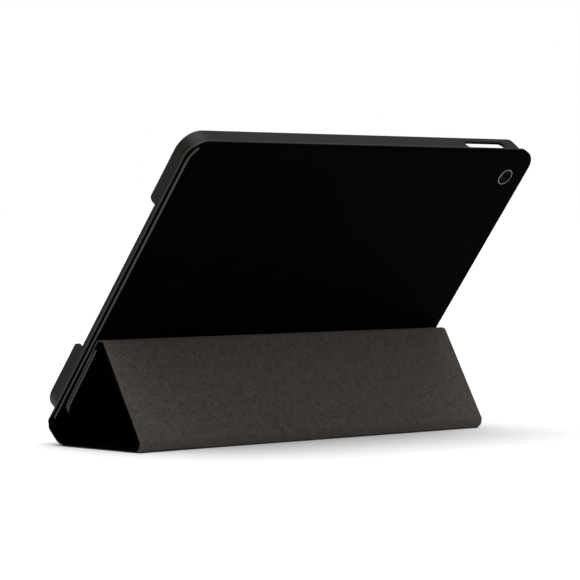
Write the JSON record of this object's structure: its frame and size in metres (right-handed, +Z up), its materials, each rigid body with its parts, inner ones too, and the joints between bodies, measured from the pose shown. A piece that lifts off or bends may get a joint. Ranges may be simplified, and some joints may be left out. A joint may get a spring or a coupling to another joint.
{
  "type": "tablet case",
  "caption": "Folding tablet case: a hard tray bonded to a back plate, with a soft spine and a three-board cover that folds into a triangular stand or closes over the screen.",
  "frame": {"origin": "middle of the base board's underside, on the table", "axes": "+Z up, +Y towards the back of the stand, +X towards the tablet's port end"},
  "size_m": [0.259, 0.117, 0.1612],
  "materials": {
    "tray_plastic": "fine matte",
    "skin": "smooth fine-grained leather look",
    "lining": "short-pile microfibre",
    "liner": "short-pile microfibre",
    "board": "raw fibre board",
    "adhesive": "pressure-sensitive film",
    "magnet": "nickel plated",
    "ring": "satin anodised"
  },
  "bodies": {
    "shell": {"tray": "tray_plastic", "tray_adhesive": "adhesive", "plate_liner": "liner", "plate_board": "board", "plate_skin": "skin", "plate_magnets": "magnet", "camera_ring": "ring", "plate_fold_skin": "skin", "plate_fold_lining": "lining"},
    "spine": {"spine_skin": "skin", "spine_lining": "lining", "spine_fold_skin": "skin", "spine_fold_lining": "lining"},
    "base": {"base_skin": "skin", "base_board": "board", "base_lining": "lining", "rear_fold_skin": "skin", "rear_fold_lining": "lining"},
    "slope": {"slope_skin": "skin", "slope_board": "board", "slope_lining": "lining", "wake_magnets": "magnet", "apex_fold_skin": "skin", "apex_fold_lining": "lining"},
    "flap": {"flap_skin": "skin", "flap_board": "board", "flap_lining": "lining", "flap_magnets": "magnet"}
  },
  "joints": [
    {"name": "plate_hinge", "type": "hinge", "parent": "shell", "child": "spine", "pos_m": [0, -0.04009, 0.0099], "axis": [-1, 0, 0], "range_deg": [0, 172], "deforming": ["plate_fold_skin", "plate_fold_lining"]},
    {"name": "spine_hinge", "type": "hinge", "parent": "spine", "child": "base", "pos_m": [0, -0.03156, 0.00076], "axis": [-1, 0, 0], "range_deg": [0, 134.81], "deforming": ["spine_fold_skin", "spine_fold_lining"]},
    {"name": "rear_hinge", "type": "hinge", "parent": "base", "child": "slope", "pos_m": [0, 0.03026, 0.00228], "axis": [-1, 0, 0], "range_deg": [0, 119.61], "deforming": ["rear_fold_skin", "rear_fold_lining"]},
    {"name": "apex_hinge", "type": "hinge", "parent": "slope", "child": "flap", "pos_m": [0, 0.00052, 0.05531], "axis": [-1, 0, 0], "range_deg": [0, 115.01], "deforming": ["apex_fold_skin", "apex_fold_lining"]}
  ],
  "couplings": [
    {"joint": "spine_hinge", "follows": "plate_hinge", "ratio": 0.78372},
    {"joint": "rear_hinge", "follows": "plate_hinge", "ratio": 0.69535},
    {"joint": "apex_hinge", "follows": "plate_hinge", "ratio": 0.6686}
  ]
}
